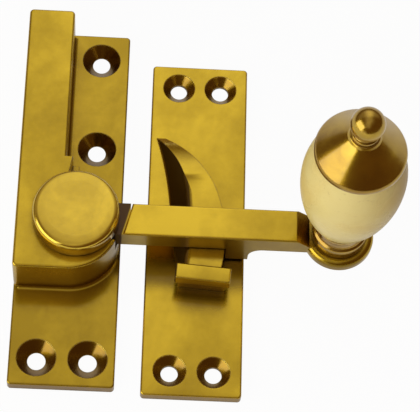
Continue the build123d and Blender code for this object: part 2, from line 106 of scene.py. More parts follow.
# %% A node tree to work at
class Desk:
    """The node tree of one material, of the world or of a modifier."""

    def __init__(self, tree):
        self.tree = tree
        self.tree.nodes.clear()

    def node(self, kind, settings=None, values=None, out=0):
        """Adds one node: its type, its settings first, then the values or links of its sockets."""
        made = self.tree.nodes.new(kind)
        for name, setting in (settings or {}).items():
            setattr(made, name, setting)
        for name, value in (values or {}).items():
            socket = made.inputs[name]
            if isinstance(value, Signal):
                self.tree.links.new(value.socket, socket)
            else:
                socket.default_value = value
        if isinstance(out, (list, tuple)):
            return [Signal(self, made.outputs[name]) for name in out]
        return Signal(self, made.outputs[out]) if made.outputs else made

    def blend(self, share, first, second):
        """One colour turning into another as the share goes from 0 to 1."""
        return self.node("ShaderNodeMix", {"data_type": "RGBA"}, {"Factor": share, 6: first, 7: second}, out=2)

    def noise(self, where, size, detail=3.0, rough=0.55, distort=0.0):
        """Cloudy noise with features about as large as the given size in millimetres."""
        values = {"Vector": where, "Scale": 1.0 / (size * MM), "Detail": detail, "Roughness": rough,
                  "Distortion": distort}
        return self.node("ShaderNodeTexNoise", {}, values)

    def placed(self, where, scale=(1.0, 1.0, 1.0), centre=(0.0, 0.0, 0.0)):
        """The coordinates of a piece, counted from a centre and then stretched."""
        shift = tuple(-c * s for c, s in zip(centre, scale))
        return self.node("ShaderNodeMapping", {}, {"Vector": where, "Scale": scale, "Location": shift})

    def parts(self, vector):
        """The three numbers of a vector."""
        return self.node("ShaderNodeSeparateXYZ", {}, {"Vector": vector}, out=(0, 1, 2))

    def in_mm(self, where):
        """The three coordinates of a place in millimetres."""
        return [part / MM for part in self.parts(where)]

    def bump(self, height, depth, under, strength=1.0):
        """Turns a height into a normal, with hollows about as deep as the given depth in millimetres."""
        values = {"Strength": strength, "Distance": depth * MM, "Height": height, "Normal": under}
        return self.node("ShaderNodeBump", {}, values)


def rgb(red, green, blue):
    """An opaque colour."""
    return (red, green, blue, 1.0)


def new_material(name):
    """An empty material and the desk of its nodes."""
    material = bpy.data.materials.new(name)
    material.use_nodes = True
    return material, Desk(material.node_tree)


def surface(desk, **sockets):
    """Ends a material with one Principled shader."""
    values = {name.replace("_", " "): value for name, value in sockets.items()}
    shader = desk.node("ShaderNodeBsdfPrincipled", {}, values)
    desk.node("ShaderNodeOutputMaterial", {}, {"Surface": shader})


print("desks ready")

# %% [markdown]
# ## What every old brass has in common
# Brass goes olive in soft clouds where it isn't handled. Three masks are used by all the brass finishes. Polish and
# dirt stay behind where two surfaces meet, and the dark lines there are painted shade as well: an ambient occlusion
# node finds those inner corners. A second one with a longer reach finds the sheltered places, which get painted shade
# in brown as a whole. Outer edges are rubbed bright: there the Bevel node's rounded normal departs from the true one.

# %% Tarnish, dirt, painted shade and rubbed edges
GOLD = rgb(0.82, 0.585, 0.032)
OLIVE = rgb(0.48, 0.325, 0.008)
UMBER = rgb(0.26, 0.115, 0.008)
# The brown below is painted shade, and the near-black after it is dirt and painted shade in the corners.
PAINTED_SHADE_BROWN = rgb(0.16, 0.060, 0.006)
GRIME_AND_SHADE = rgb(0.055, 0.018, 0.003)
RUBBED = rgb(0.95, 0.72, 0.20)
SHELTER_REACH = 9.0
RAYS = 6


def closeness(desk, reach):
    """0 in the open, and up to 1 where other surfaces are nearer than the reach in millimetres."""
    values = {"Distance": reach * MM}
    return 1.0 - desk.node("ShaderNodeAmbientOcclusion", {"samples": RAYS}, values, out="AO")


def corners(desk, reach, round_edge):
    """How shut in and how sheltered a place is, how much it is an outer edge, and the softened and true normals."""
    soft = desk.node("ShaderNodeBevel", {"samples": RAYS}, {"Radius": round_edge * MM})
    true_normal = desk.node("ShaderNodeNewGeometry", out="True Normal")
    agree = desk.node("ShaderNodeVectorMath", {"operation": "DOT_PRODUCT"}, {0: soft, 1: true_normal}, out="Value")
    # The shut-in mask is dirt and painted shade in corners, and the sheltered mask is painted shade.
    shut_in = closeness(desk, reach)
    sheltered = closeness(desk, SHELTER_REACH).ramp(0.12, 0.80)
    edge = (1.0 - agree).ramp(0.02, 0.22) * (1.0 - shut_in.ramp(0.15, 0.5))
    return shut_in, sheltered, edge, soft, true_normal


def kept_in_range(share):
    """A share that stays between 0 and 1."""
    return share.maths("MAXIMUM", 0.0).maths("MINIMUM", 1.0)


print("brass runs from", GOLD[:3], "to", OLIVE[:3])

# %% [markdown]
# ## The finish of the castings
# The plates and the arm were cast in sand, and only their tops were filed and polished. The tops are bright and a
# little wavy, because a mop never leaves them true. The walls keep more of the brown skin of the casting, and their
# brown is painted shade as well. The normal's upward part tells tops from walls. Below the plate's top, the sinks and
# the edges of the plates get painted shade. The polish lines run along each piece, so a noise stretched along the
# piece makes them.

# %% Cast brass
CLOUD_SIZE = 17.0
MOTTLE_SIZE = 2.2
WAVE_SIZE = 15.0
POLISH_LINE_SIZE = 0.16
POLISH_LINE_DEPTH = 0.02
CORNER_REACH = 2.6
EDGE_ROUNDING = 0.30
WAX_ROUGHNESS = 0.12
PLATE_TOP = 2.5


def cast_brass(name, along, age=0.0, wave=0.5, gloss=0.18, marks=None):
    """Polished tops, walls browned by casting skin and painted shade, clouds of tarnish, dirt and painted shade in the
    corners, painted shade in sheltered places and below the plate's top, and rubbed edges.

    Along stretches the polish lines, age is how far the whole piece has gone olive, and marks is a function that
    gives the tarnish and the dirt and painted shade of this piece alone."""
    material, desk = new_material(name)
    where = desk.node("ShaderNodeTexCoord", out="Object")
    cloud = desk.noise(desk.placed(where, (1.0, 0.6, 1.0)), CLOUD_SIZE, detail=4.0, distort=0.5).ramp(0.36, 0.66)
    mottle = desk.noise(where, MOTTLE_SIZE, detail=4.0, rough=0.6) - 0.5
    shut_in, sheltered, edge, soft, true_normal = corners(desk, CORNER_REACH, EDGE_ROUNDING)
    # The walls' brown is casting skin and painted shade.
    wall = 1.0 - desk.parts(true_normal)[2].ramp(0.45, 0.82)
    below_top = 1.0 - desk.in_mm(where)[2].ramp(PLATE_TOP - 0.45, PLATE_TOP - 0.05)
    # Dirt and painted shade where two surfaces meet.
    dirt_and_shade = (shut_in * 1.3 + mottle * 0.35).ramp(0.40, 0.95)
    tarnish = cloud * 0.45 + mottle * 0.40 + age
    if marks:
        extra_tarnish, extra_dirt_and_shade = marks(desk, where, true_normal)
        tarnish = tarnish + extra_tarnish
        dirt_and_shade = dirt_and_shade.maths("MAXIMUM", extra_dirt_and_shade)
    colour = desk.blend(kept_in_range(tarnish), GOLD, OLIVE)
    colour = desk.blend(wall * 0.16, colour, UMBER)
    # Painted shade in brown: in sheltered places, and in the sinks and on the plates' edges below the top.
    colour = desk.blend((sheltered * 0.40).maths("MAXIMUM", below_top * 0.62), colour, PAINTED_SHADE_BROWN)
    colour = desk.blend(edge * 0.4, colour, RUBBED)
    colour = desk.blend(dirt_and_shade, colour, GRIME_AND_SHADE)
    rough = gloss + cloud * 0.05 + mottle * 0.08 + dirt_and_shade * 0.25 + wall * 0.08
    lines = desk.noise(desk.placed(where, along), POLISH_LINE_SIZE, detail=2.0)
    wavy = desk.bump(desk.noise(where, WAVE_SIZE, detail=1.0), wave, soft)
    fine = desk.bump(lines, POLISH_LINE_DEPTH, wavy, strength=0.12)
    surface(desk, Base_Color=colour, Metallic=1.0, Roughness=rough, Coat_Weight=0.5, Coat_Roughness=WAX_ROUGHNESS,
            Normal=fine)
    return material


def finish_node(name, material):
    """Gives one piece of the model its finish."""
    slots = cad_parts[name].material_slots
    for slot in slots:
        slot.material = material
    print(name, "has", len(slots), "slot with", material.name)


print("cast brass has clouds of", CLOUD_SIZE, "mm, waves of", WAVE_SIZE, "mm and mottle of", MOTTLE_SIZE, "mm")

# %% [markdown]
# ## The marks of each casting
# The three castings aren't worn alike, and each gets a small function for its own marks. The lever plate is duller
# low down, where the mop doesn't reach past the fence. On the keep, the inner side of the ridge, the plate round the
# stop and a band under the arm get painted shade. The arm goes olive towards the eye, and gets painted shade in the
# gap beside the disc and on its front. All of them read the place in millimetres, counted from the pivot where that is
# easier.

# %% Where the pivot and the stop are
STOP_X = 27.0
STOP_Y = -7.9
PILLAR_DEPTH = 2.9


def middle(node):
    """The foot of a round piece's axis in metres, and the piece's radius and height in millimetres."""
    low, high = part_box(node)
    axis = ((low[0] + high[0]) / 2, (low[1] + high[1]) / 2, low[2])
    return axis, (high[0] - low[0]) / 2 / MM, (high[2] - low[2]) / MM


disc_axis, disc_radius, disc_height = middle("pivot_disc")
PIVOT_X, PIVOT_Y = disc_axis[0] / MM, disc_axis[1] / MM
print("pivot at", round(PIVOT_X, 2), round(PIVOT_Y, 2), "mm, the stop", STOP_X, STOP_Y, "mm from it")

# %% A function for each casting's marks
FENCE_TOP = 12.0
APRON_SIDE_FADE = (3.4, 6.6)
APRON_FRONT_FADE = (0.5, 7.0)
ARM_LINE = 3.5
ARM_FADE = (1.5, 5.0)
GAP_EDGE = 10.3
EYE_FADE = (24.0, 50.0)


def dull_strip(desk, where, normal):
    """Low down the lever plate is duller than on the fence's top."""
    low_down = 1.0 - desk.in_mm(where)[2].ramp(PLATE_TOP + 0.5, FENCE_TOP)
    return low_down * 0.34, low_down * 0.08


def painted_shade_keep(desk, where, normal):
    """Painted shade on the ridge's inner side, and painted shadow on the plate round the stop and under the arm."""
    east, north, up = desk.in_mm(where)
    on_plate = 1.0 - up.ramp(PLATE_TOP + 0.1, PLATE_TOP + 0.7)
    # Painted shade on the ridge's inner side, and painted shadow of the stop and the arm on the plate.
    west_side = (desk.parts(normal)[0] * -1.0).ramp(0.10, 0.45) * up.ramp(PLATE_TOP + 0.1, PLATE_TOP + 0.5)
    from_stop = (PIVOT_Y + STOP_Y - PILLAR_DEPTH) - north
    beside = 1.0 - (east - PIVOT_X - STOP_X).maths("ABSOLUTE").ramp(*APRON_SIDE_FADE)
    apron = beside * (1.0 - from_stop.ramp(*APRON_FRONT_FADE)) * from_stop.ramp(-1.0, 0.0)
    under_arm = 1.0 - (from_stop + ARM_LINE).maths("ABSOLUTE").ramp(*ARM_FADE)
    painted_shadow = (apron * 0.70).maths("MAXIMUM", under_arm * 0.45) * on_plate
    return 0.0, (west_side * 0.92).maths("MAXIMUM", painted_shadow)


def handled_and_shaded_arm(desk, where, normal):
    """Tarnish towards the eye, and painted shade in the gap beside the disc and on the arm's front."""
    east, north = desk.in_mm(where)[:2]
    eye_end = east.ramp(*EYE_FADE) * 0.75
    # Painted shade in the gap beside the disc and on the arm's south-facing front.
    gap = 1.0 - (east - PIVOT_X - (north - PIVOT_Y) * 0.25).ramp(GAP_EDGE, GAP_EDGE + 0.6)
    front = (desk.parts(normal)[1] * -1.0).ramp(0.5, 0.9) * 0.35
    return eye_end, (gap * 0.95).maths("MAXIMUM", front)


print("the arm goes olive from", EYE_FADE[0], "to", EYE_FADE[1], "mm, its gap is dark up to", GAP_EDGE, "mm")

# %% The castings get their finish
LINES_NORTH = (1.0, 0.06, 1.0)
LINES_EAST = (0.06, 1.0, 1.0)
lever_brass = cast_brass("polished_lever_brass", LINES_NORTH, age=0.46, marks=dull_strip)
keep_brass = cast_brass("polished_keep_brass", LINES_NORTH, age=0.26, marks=painted_shade_keep)
arm_brass = cast_brass("polished_arm_brass", LINES_EAST, age=-0.12, wave=0.35, marks=handled_and_shaded_arm)
finish_node("lever_base", lever_brass)
finish_node("spring_wedge", lever_brass)
finish_node("keep_plate", keep_brass)
finish_node("lever_arm", arm_brass)

# %% [markdown]
# ## The end of the ridge
# The model's ridge has a sloping foot that shows round the stop. On the real keep the ridge ends flush with the
# stop's pillar. A copy of the casting is merged into one closed mesh, and three blocks are cut out of it with
# Booleans: one south of the pillar, one west of it, and one that trims the foot on the way to the arm. The plate,
# the pillar and the overhanging bar stay as they are. Edges that turn by more than 30 degrees are marked sharp
# again, and the rest is shaded smooth, so that the curved sides of the ridge don't show their facets.

# %% Tools for cutting a casting
MERGE_DISTANCE = 0.002
SHARP_TURN = 30.0


def new_object(name, data):
    """Puts a mesh, a lamp or a camera into the scene."""
    obj = bpy.data.objects.new(name, data)
    bpy.context.collection.objects.link(obj)
    return obj


def merged_copy(node, name):
    """A closed copy of a piece of the model, whose triangles share their corners."""
    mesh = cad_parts[node].data.copy()
    mesh.name = name
    shell = bmesh.new()
    shell.from_mesh(mesh)
    bmesh.ops.remove_doubles(shell, verts=shell.verts, dist=MERGE_DISTANCE * MM)
    shell.to_mesh(mesh)
    shell.free()
    return new_object(name, mesh)


def cutter_block(name, centre, size, turn):
    """A block with its place and its turn about the upright in its mesh."""
    mesh = bpy.data.meshes.new(name)
    shell = bmesh.new()
    place = Matrix.Translation(centre) @ Matrix.Rotation(math.radians(turn), 4, "Z") @ Matrix.Diagonal((*size, 1.0))
    bmesh.ops.create_cube(shell, size=1.0, matrix=place)
    shell.to_mesh(mesh)
    shell.free()
    return new_object(name, mesh)


def carved(obj, blocks):
    """The mesh that is left when blocks are taken away.

    A block has a corner counted from the pivot, its west, east, south and north sides counted from that corner, its
    bottom and top, and its turn about the corner, in millimetres and degrees."""
    cutters = []
    for corner, (west, east, south, north), (bottom, top), turn in blocks:
        shift = Matrix.Rotation(math.radians(turn), 4, "Z") @ Vector(((west + east) / 2, (south + north) / 2, 0.0))
        centre = Vector((PIVOT_X + corner[0], PIVOT_Y + corner[1], (bottom + top) / 2)) + shift
        size = ((east - west) * MM, (north - south) * MM, (top - bottom) * MM)
        cutters.append(cutter_block("ridge_cutter", centre * MM, size, turn))
        trim = obj.modifiers.new("trim", "BOOLEAN")
        trim.operation = "DIFFERENCE"
        trim.solver = "EXACT"
        trim.object = cutters[-1]
    bpy.context.view_layer.update()
    mesh = bpy.data.meshes.new_from_object(obj.evaluated_get(bpy.context.evaluated_depsgraph_get()))
    obj.modifiers.clear()
    for cutter in cutters:
        bpy.data.objects.remove(cutter)
    return mesh


def sharpened(mesh):
    """Shades a mesh smooth, apart from edges that turn by more than the sharp turn. Counts its open edges."""
    shell = bmesh.new()
    shell.from_mesh(mesh)
    for face in shell.faces:
        face.smooth = True
    for edge in shell.edges:
        edge.smooth = len(edge.link_faces) == 2 and edge.calc_face_angle() < math.radians(SHARP_TURN)
    open_edges = sum(1 for edge in shell.edges if len(edge.link_faces) != 2)
    shell.to_mesh(mesh)
    shell.free()
    return open_edges


print("corners merge within", MERGE_DISTANCE, "mm, and edges are sharp from", SHARP_TURN, "degrees")

# %% [markdown]
# ## The three cuts
# The first block starts at the pillar's south side and the second at its west side. Both are turned a little, as the
# stop is, and reach from the plate's top to the bar's underside, so that neither plate nor bar is touched. The third
# lies along the ridge's inner side and takes the foot away up to the ridge's top.

# %% Keep plate with its ridge cut flush
STOP_SKEW = -4.0
BAR_UNDERSIDE = 6.3
RIDGE_TOP = 8.0
PILLAR_WEST = (22.05, -7.0)
FOOT_TURN = 14.5
south_of_pillar = ((STOP_X, STOP_Y), (-17.0, 17.0, -PILLAR_DEPTH - 12.0, -PILLAR_DEPTH), (PLATE_TOP, BAR_UNDERSIDE),
                   STOP_SKEW)
west_of_pillar = (PILLAR_WEST, (-8.0, 0.0, -7.0, 0.0), (PLATE_TOP, BAR_UNDERSIDE), STOP_SKEW)
foot_to_arm = (PILLAR_WEST, (-8.0, 0.0, 0.0, 12.0), (PLATE_TOP, RIDGE_TOP), FOOT_TURN)
keep = merged_copy("keep_plate", "keep_plate_casting")
keep.data = carved(keep, [south_of_pillar, west_of_pillar, foot_to_arm])
keep.data.materials.clear()
keep.data.materials.append(keep_brass)
open_edges = sharpened(keep.data)
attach(keep, "base")
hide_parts("keep_plate")
print("keep plate has", len(keep.data.polygons), "faces and", open_edges, "open edges")

# %% [markdown]
# ## The finish of the turned brass
# The disc, the collar, the cap and the finial come from a lathe. The tool leaves fine rings about the axis, which
# draw the highlights out sideways. The distance from the axis and the height drive the rings: on a flat face the
# distance changes, on an upright wall the height does, so their sum works on both.

# %% Turned brass
RING_PITCH = 0.22
RING_DEPTH = 0.012
RIM_ROUNDING = 0.2
RIM_REACH = 1.6
TURNED_CLOUD_SIZE = 11.0
TURNED_MOTTLE_SIZE = 1.6
DENT_SIZE = 5.0
DENT_DEPTH = 0.08


def turned_brass(name, centre, gloss=0.17, age=0.0, brown=0.0):
    """Polished turned brass with fine rings about an upright axis."""
    material, desk = new_material(name)
    where = desk.node("ShaderNodeTexCoord", out="Object")
    x, y, z = desk.parts(desk.placed(where, centre=centre))
    radius = (x * x + y * y) ** 0.5
    steps = (radius + z * 0.8) / (RING_PITCH * MM)
    rings = desk.node("ShaderNodeTexNoise", {"noise_dimensions": "1D"}, {"W": steps, "Scale": 1.0, "Detail": 2.0})
    cloud = desk.noise(where, TURNED_CLOUD_SIZE, detail=4.0, distort=0.6).ramp(0.36, 0.68)
    mottle = desk.noise(where, TURNED_MOTTLE_SIZE, detail=4.0, rough=0.62) - 0.5
    shut_in, sheltered, edge, soft = corners(desk, RIM_REACH, RIM_ROUNDING)[:4]
    # Dirt and painted shade in the corners, and painted shade in sheltered places on top of the brown tone.
    dirt_and_shade = (shut_in * 1.25 + mottle * 0.35).ramp(0.45, 1.0)
    tarnish = cloud * 0.45 + mottle * 0.4 + age
    colour = desk.blend(kept_in_range(tarnish), GOLD, OLIVE)
    colour = desk.blend((cloud * 0.4 + 0.6) * brown + sheltered * 0.45, colour, UMBER)
    colour = desk.blend(edge * 0.4, colour, RUBBED)
    colour = desk.blend(dirt_and_shade, colour, GRIME_AND_SHADE)
    rough = gloss + cloud * 0.05 + mottle * 0.08 + dirt_and_shade * 0.3
    turned = desk.bump(rings, RING_DEPTH, soft, strength=0.35)
    worn = desk.bump(desk.noise(where, DENT_SIZE, detail=1.0), DENT_DEPTH, turned)
    surface(desk, Base_Color=colour, Metallic=1.0, Roughness=rough, Coat_Weight=1.0, Coat_Roughness=WAX_ROUGHNESS,
            Normal=worn)
    return material


knob_axis, barrel_radius, barrel_height = middle("knob_barrel")
disc_brass = turned_brass("turned_disc_brass", disc_axis, age=-0.05)
knob_brass = turned_brass("turned_knob_brass", knob_axis, gloss=0.21, age=0.10, brown=0.68)
finish_node("rivet_washer", disc_brass)
print("the knob stands at", [round(v / MM, 2) for v in knob_axis], "mm")

# %% [markdown]
# ## The glazed barrel
# The barrel is white-bodied ceramic under a cream glaze. The glaze lies over a slightly uneven ground, a little
# greener where it is thick and browner with age in patches, with hairline crazing. It has lost its mirror gloss, so
# the shader's coat and specular level are low. The cells of a Voronoi texture give the crazing.

# %% Glaze
CREAM = rgb(0.78, 0.67, 0.27)
HONEY = rgb(0.72, 0.54, 0.16)
THICK_GLAZE = rgb(0.70, 0.62, 0.27)
SPECK = rgb(0.45, 0.33, 0.14)
CRACK = rgb(0.35, 0.24, 0.10)
PATCH_SIZE = 12.0
SPECK_SIZE = 0.9
CRAZED_SIZE = 6.0
CELLS_PER_METRE = 420.0
FOOT_BAND = 7.0
SWELL_SIZE = 7.0
SWELL_DEPTH = 0.10


def glazed_ceramic(name, centre):
    """Cream glaze with honey patches, a greener foot, a few specks and hairline crazing."""
    material, desk = new_material(name)
    where = desk.node("ShaderNodeTexCoord", out="Object")
    level = desk.in_mm(desk.placed(where, centre=centre))[2]
    patch = desk.noise(where, PATCH_SIZE, detail=4.0, distort=0.5).ramp(0.35, 0.70)
    speck = desk.noise(where, SPECK_SIZE, detail=3.0, rough=0.7) - 0.5
    cells = desk.node("ShaderNodeTexVoronoi", {"feature": "DISTANCE_TO_EDGE"},
                      {"Vector": where, "Scale": CELLS_PER_METRE}, out="Distance")
    craze = (1.0 - cells.ramp(0.0, 0.02)) * desk.noise(where, CRAZED_SIZE).ramp(0.48, 0.62)
    colour = desk.blend(patch * 0.6, CREAM, HONEY)
    colour = desk.blend((1.0 - level.ramp(0.0, FOOT_BAND)) * 0.5, colour, THICK_GLAZE)
    colour = desk.blend(speck.ramp(0.10, 0.22) * 0.25, colour, SPECK)
    colour = desk.blend(craze * 0.22, colour, CRACK)
    flat = desk.node("ShaderNodeNewGeometry", out="Normal")
    normal = desk.bump(desk.noise(where, SWELL_SIZE, detail=1.0), SWELL_DEPTH, flat)
    rough = 0.24 + patch * 0.08 + craze * 0.1
    surface(desk, Base_Color=colour, Roughness=rough, Coat_Weight=0.05, Coat_Roughness=0.06,
            Specular_IOR_Level=0.12, Normal=normal)
    return material


glaze = glazed_ceramic("cream_glaze", knob_axis)
print("glaze mixed:", glaze.name)

# %% [markdown]
# ## Steel and leather
# The leaf spring is blued strip, rolled along its length. The spindle is drawn rod with a riveted end. The two
# washers of the knob are punched from leather, whose grain is a fine Voronoi pattern.

# %% Steel and leather
ALONG_SPRING = (1.0, 0.05, 1.0)
ALONG_SPINDLE = (1.0, 1.0, 0.05)
STAIN_SIZE = 4.0
DRAWN_LINE_SIZE = 0.12
DRAWN_LINE_DEPTH = 0.015
GRAINS_PER_METRE = 2600.0
GRAIN_DEPTH = 0.05
HIDE_CLOUD_SIZE = 2.5


def drawn_steel(name, colour, stain, along):
    """Steel with fine lines along the piece and stained clouds."""
    material, desk = new_material(name)
    where = desk.node("ShaderNodeTexCoord", out="Object")
    cloud = desk.noise(where, STAIN_SIZE, detail=5.0).ramp(0.4, 0.7)
    lines = desk.noise(desk.placed(where, along), DRAWN_LINE_SIZE, detail=2.0)
    tone = desk.blend(cloud * 0.7 + (lines - 0.5) * 0.4, colour, stain)
    flat = desk.node("ShaderNodeNewGeometry", out="Normal")
    normal = desk.bump(lines, DRAWN_LINE_DEPTH, flat, strength=0.3)
    rough = 0.28 + cloud * 0.2 + (lines - 0.5) * 0.15
    surface(desk, Base_Color=tone, Metallic=1.0, Roughness=rough, Normal=normal)
    return material


def punched_leather(name):
    """Brown leather with a fine grain."""
    material, desk = new_material(name)
    where = desk.node("ShaderNodeTexCoord", out="Object")
    grain = desk.node("ShaderNodeTexVoronoi", {}, {"Vector": where, "Scale": GRAINS_PER_METRE}, out="Distance")
    cloud = desk.noise(where, HIDE_CLOUD_SIZE, detail=4.0)
    tone = desk.blend(cloud, rgb(0.30, 0.17, 0.08), rgb(0.13, 0.065, 0.03))
    flat = desk.node("ShaderNodeNewGeometry", out="Normal")
    normal = desk.bump(grain, GRAIN_DEPTH, flat, strength=0.6)
    surface(desk, Base_Color=tone, Roughness=0.62 + grain * 0.25, Normal=normal)
    return material


blued = drawn_steel("blued_spring_steel", rgb(0.10, 0.13, 0.20), rgb(0.22, 0.15, 0.12), ALONG_SPRING)
drawn = drawn_steel("drawn_spindle_steel", rgb(0.48, 0.47, 0.45), rgb(0.26, 0.22, 0.18), ALONG_SPINDLE)
leather = punched_leather("punched_leather")
finish_node("leaf_spring", blued)
finish_node("knob_spindle", drawn)
for node in ("lower_knob_washer", "upper_knob_washer"):
    finish_node(node, leather)

# %% [markdown]
# ## A lathe in Geometry Nodes
# The round pieces are sets of rings, and a coarse mesh shows its facets on their rims. A turner follows a profile:
# the same can be done here with a Geometry Nodes tree. Its input is the profile, a row of points with the radius
# along X and the level along Z. The tree lays a grid with one column for each step round the axis, looks up the
# profile's point for each row, and turns it by the column's angle. Merging closes the seam and the poles.

# %% The lathe's tree
STEPS_ROUND = 128


def lathe_tree():
    """Builds the tree: profile and number of steps in, closed turned piece out."""
    tree = bpy.data.node_groups.new("lathe", "GeometryNodeTree")
    face = tree.interface
    face.new_socket("Profile", in_out="INPUT", socket_type="NodeSocketGeometry")
    face.new_socket("Steps round", in_out="INPUT", socket_type="NodeSocketInt")
    face.new_socket("Finish", in_out="INPUT", socket_type="NodeSocketMaterial")
    face.new_socket("Piece", in_out="OUTPUT", socket_type="NodeSocketGeometry")
    desk = Desk(tree)
    profile, around, finish = desk.node("NodeGroupInput", out=(0, 1, 2))
    rows = desk.node("GeometryNodeAttributeDomainSize", {"component": "MESH"}, {"Geometry": profile}, out=0)
    columns = desk.node("FunctionNodeIntegerMath", {"operation": "ADD"}, {0: around, 1: 1})
    sheet = desk.node("GeometryNodeMeshGrid", {}, {"Vertices X": columns, "Vertices Y": rows})
    index = desk.node("GeometryNodeInputIndex")
    row = desk.node("FunctionNodeIntegerMath", {"operation": "MODULO"}, {0: index, 1: rows})
    column = desk.node("FunctionNodeIntegerMath", {"operation": "DIVIDE"}, {0: index, 1: rows})
    place = desk.node("GeometryNodeInputPosition")
    sampled = desk.node("GeometryNodeSampleIndex", {"data_type": "FLOAT_VECTOR", "domain": "POINT"},
                        {"Geometry": profile, "Value": place, "Index": row})
    angle = (column / around) * math.tau
    turned = desk.node("ShaderNodeVectorRotate", {"rotation_type": "Z_AXIS"}, {"Vector": sampled, "Angle": angle})
    shaped = desk.node("GeometryNodeSetPosition", {}, {"Geometry": sheet, "Position": turned})
    closed = desk.node("GeometryNodeMergeByDistance", {}, {"Geometry": shaped, "Distance": MERGE_DISTANCE * MM})
    smooth = desk.node("GeometryNodeSetShadeSmooth", {}, {"Geometry": closed, "Shade Smooth": True})
    real = desk.node("GeometryNodeRealizeInstances", {}, {"Geometry": smooth})
    done = desk.node("GeometryNodeSetMaterial", {}, {"Geometry": real, "Material": finish})
    desk.node("NodeGroupOutput", {}, {0: done})
    return tree


lathe = lathe_tree()
sockets = {item.name: item.identifier for item in lathe.interface.items_tree if item.in_out == "INPUT"}
print("lathe tree has", len(lathe.nodes), "nodes and the inputs", sorted(sockets))

# %% [markdown]
# ## Profiles
# A profile is a closed row of corners, each with its own small rounding, as a turner breaks every sharp edge. An
# arc with several points stands for each rounding, because highlights run along it. Long curves, such as the side
# of the barrel, are arcs that start upright at the widest place.

# %% Tools for profiles
ROUNDING_STEPS = 6


def rounded(corner_list):
    """A closed profile from corners (radius, level, rounding) in millimetres, with an arc at each rounding."""
    points = []
    count = len(corner_list)
    for place, (radius, level, rounding) in enumerate(corner_list):
        here = Vector((radius, level))
        before = Vector(corner_list[place - 1][:2]) - here
        after = Vector(corner_list[(place + 1) % count][:2]) - here
        if rounding <= 0:
            points.append(here)
            continue
        half_turn = before.angle(after) / 2
        back = min(rounding / math.tan(half_turn), before.length * 0.49, after.length * 0.49)
        start, end = here + before.normalized() * back, here + after.normalized() * back
        for step in range(ROUNDING_STEPS + 1):
            share = step / ROUNDING_STEPS
            points.append(start.lerp(here, share).lerp(here.lerp(end, share), share))
    return points + points[:1]


def arc_from_upright(radius, level, end_radius, end_level, steps):
    """Points of an arc that starts upright at one place and ends at another, both given in millimetres."""
    run, rise = radius - end_radius, end_level - level
    bend = (run * run + rise * rise) / (2 * run)
    sweep = math.asin(rise / bend)
    angles = [sweep * step / steps for step in range(1, steps + 1)]
    return [Vector((radius - bend + bend * math.cos(angle), level + bend * math.sin(angle))) for angle in angles]


def turn_piece(name, node, axis, profile, finish, body):
    """Turns a profile about an axis, makes it a plain mesh, and lets it stand for a piece of the model."""
    mesh = bpy.data.meshes.new(name + "_profile")
    mesh.from_pydata([(p.x * MM, 0.0, p.y * MM) for p in profile], [(i, i + 1) for i in range(len(profile) - 1)], [])
    source = new_object(name + "_profile", mesh)
    modifier = source.modifiers.new("lathe", "NODES")
    modifier.node_group = lathe
    modifier[sockets["Steps round"]] = STEPS_ROUND
    modifier[sockets["Finish"]] = finish
    bpy.context.view_layer.update()
    made = bpy.data.meshes.new_from_object(source.evaluated_get(bpy.context.evaluated_depsgraph_get()))
    source.modifiers.remove(modifier)
    bpy.data.objects.remove(source)
    made.transform(Matrix.Translation(axis))
    shell = bmesh.new()
    shell.from_mesh(made)
    on_the_axis = [edge for edge in shell.edges if not edge.link_faces]
    bmesh.ops.delete(shell, geom=on_the_axis, context="EDGES")
    bmesh.ops.recalc_face_normals(shell, faces=shell.faces)
    open_edges = sum(1 for edge in shell.edges if len(edge.link_faces) != 2)
    shell.to_mesh(made)
    shell.free()
    piece = new_object(name, made)
    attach(piece, body)
    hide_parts(node)
    print(name, "has", len(made.polygons), "faces and", open_edges, "open edges")


print("the lathe turns in", STEPS_ROUND, "steps, and each rounding has", ROUNDING_STEPS)

# %% [markdown]
# ## The disc over the pivot
# The disc, its pin and the riveted head are one turned piece. The rim is well rounded, because fingers meet it when
# the arm is pushed, and the face is very slightly crowned by polishing.

# %% Disc, pin and rivet head
DISC_THICKNESS = 4.2
PIN_RADIUS = 2.5
HEAD_RADIUS = 4.0
HEAD_HEIGHT = 1.4
HEAD_TAPER = 0.8
CROWN = 0.10
CROWN_SHARE = 0.70
radius, top = disc_radius, disc_height
under_disc = top - DISC_THICKNESS
disc_profile = rounded([
    (0.0, 0.0, 0), (HEAD_RADIUS - HEAD_TAPER, 0.0, 0.3), (HEAD_RADIUS, HEAD_HEIGHT, 0.1),
    (PIN_RADIUS, HEAD_HEIGHT, 0), (PIN_RADIUS, under_disc, 0), (radius, under_disc, 0.25),
    (radius, top - CROWN, 1.5), (radius * CROWN_SHARE, top, 2.0), (0.0, top, 0)])
turn_piece("turned_pivot_disc", "pivot_disc", disc_axis, disc_profile, disc_brass, "base")

# %% [markdown]
# ## The knob
# From the eye upwards there are the collar with its foot and its set-back neck, the barrel, the cap with a thin
# rolled rim, and the ball finial on its ring and neck. Each is turned from its own profile about the knob's axis,
# inside the size that the model gives it.

# %% Collar
SPINDLE_BORE = 1.65
FOOT_HEIGHT = 2.9
SHOULDER_LEVEL = 3.35
NECK_SETBACK = 0.62
HEAD_SETBACK = 0.3
SHOULDER_SETBACK = 0.6
NECK_DROP = 1.6
HEAD_DROP = 0.9
collar_axis, radius, top = middle("knob_collar")
collar_profile = rounded([
    (SPINDLE_BORE, 0.0, 0), (radius, 0.0, 0.2), (radius, FOOT_HEIGHT, 0.55),
    (radius - SHOULDER_SETBACK, SHOULDER_LEVEL, 0.3), (radius - NECK_SETBACK, top - NECK_DROP, 0.8),
    (radius - HEAD_SETBACK, top - HEAD_DROP, 0.5), (radius - HEAD_SETBACK, top, 0.2), (SPINDLE_BORE, top, 0)])
turn_piece("turned_knob_collar", "knob_collar", collar_axis, collar_profile, knob_brass, "arm")

